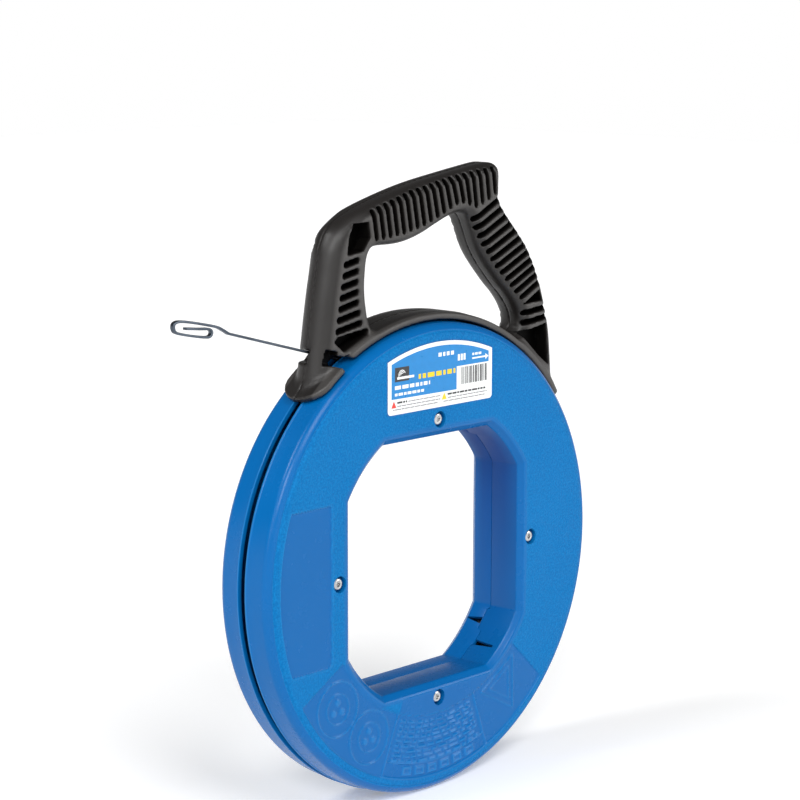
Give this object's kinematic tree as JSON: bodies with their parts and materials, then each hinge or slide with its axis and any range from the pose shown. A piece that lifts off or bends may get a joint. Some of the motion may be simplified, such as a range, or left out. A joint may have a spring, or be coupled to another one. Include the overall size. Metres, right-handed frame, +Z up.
{
  "type": "fish tape reel",
  "caption": "Hand-held fish tape reel: a steel tape coiled in a round two-part case that turns in a carrying handle, with a hook eye on the tape's end.",
  "frame": {"origin": "centre of the round case, on the axis it turns about and on its mid-plane, in the middle of the hand opening", "axes": "+Y is the case's turning axis, out of its rear face; the labelled face looks along -Y; +Z is up through the handle; the tape leaves the handle towards -X"},
  "size_m": [0.357, 0.0452, 0.4009],
  "materials": {
    "case_blue": "moulded, spark-eroded faces with smooth rim and panels",
    "handle_black": "moulded, fine matt texture",
    "screw_steel": "zinc plated",
    "tape_steel": "blued spring steel",
    "label_film": "printed vinyl"
  },
  "bodies": {
    "handle": {"handle_front_half": "handle_black", "handle_rear_half": "handle_black", "handle_screw_upper": "screw_steel", "handle_screw_lower": "screw_steel", "handle_screw_rear": "screw_steel"},
    "reel": {"case_front_shell": "case_blue", "case_rear_shell": "case_blue", "case_screw_top": "screw_steel", "case_screw_right": "screw_steel", "case_screw_bottom": "screw_steel", "case_screw_left": "screw_steel", "case_label": "label_film", "tape_coil": "tape_steel", "tape_tail": "tape_steel", "tape_anchor_clip": "screw_steel", "tape_anchor_screw": "screw_steel"},
    "tape_end": {"tape_lead": "tape_steel"}
  },
  "joints": [
    {"name": "case_spin", "type": "hinge", "parent": "handle", "child": "reel", "pos_m": [0, 0, 0], "axis": [0, 1, 0], "continuous": true},
    {"name": "tape_payout", "type": "slide", "parent": "handle", "child": "tape_end", "axis": [-0.9641, 0, 0.2656], "range_m": [-0.055, 0.09]}
  ]
}
